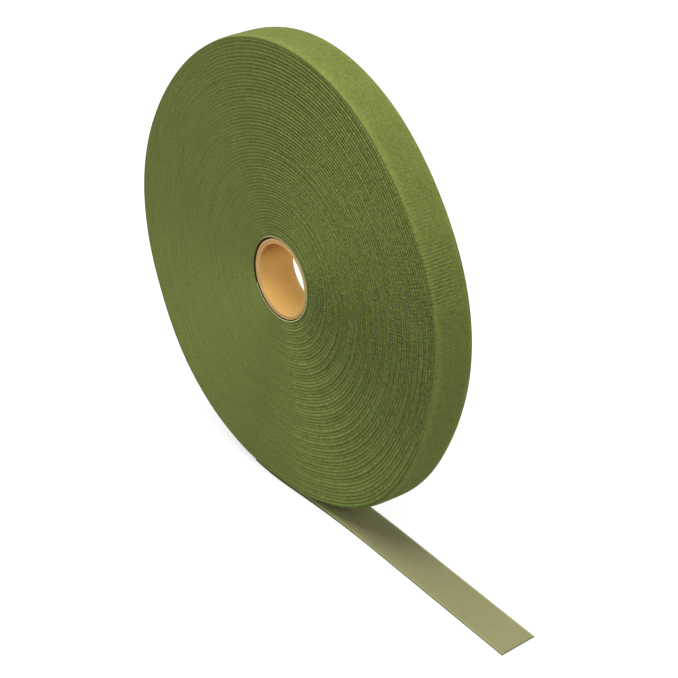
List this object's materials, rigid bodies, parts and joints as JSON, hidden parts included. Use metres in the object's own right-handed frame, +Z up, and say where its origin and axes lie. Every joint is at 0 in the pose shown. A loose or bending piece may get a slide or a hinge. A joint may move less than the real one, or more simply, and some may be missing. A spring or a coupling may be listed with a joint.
{
  "type": "hook and loop tape roll",
  "caption": "Narrow back-to-back hook and loop tape wound on a short paper core, standing on its rim with its free end laid out flat.",
  "frame": {"origin": "the point of the table under the middle of the roll, on the flat foot of the wound tape", "axes": "+Z up, +Y along the roll's axis from the side with the visible face to the back, +X towards the free end of the tape"},
  "size_m": [0.2853, 0.0293, 0.2272],
  "materials": {
    "loop_pile": "soft brushed loop pile, olive green",
    "hook_face": "fine moulded hooks on a woven ground, khaki green",
    "kraft_paper": "matt wound kraft paper, tan",
    "pale_glue": "set hot glue, cream"
  },
  "bodies": {
    "roll": {"paper_core": "kraft_paper", "start_glue_bead": "pale_glue", "inner_turns": "loop_pile", "outer_turns": "loop_pile", "tail_root_loop_layer": "loop_pile", "tail_root_hook_layer": "hook_face"},
    "free_end": {"tail_flap_loop_layer": "loop_pile", "tail_flap_hook_layer": "hook_face"}
  },
  "joints": [
    {"name": "free_end_lift", "type": "hinge", "parent": "roll", "child": "free_end", "pos_m": [0.072, -0.00068, 0.00105], "axis": [-0.0732, -0.9973, 0], "range_deg": [0, 60]}
  ]
}
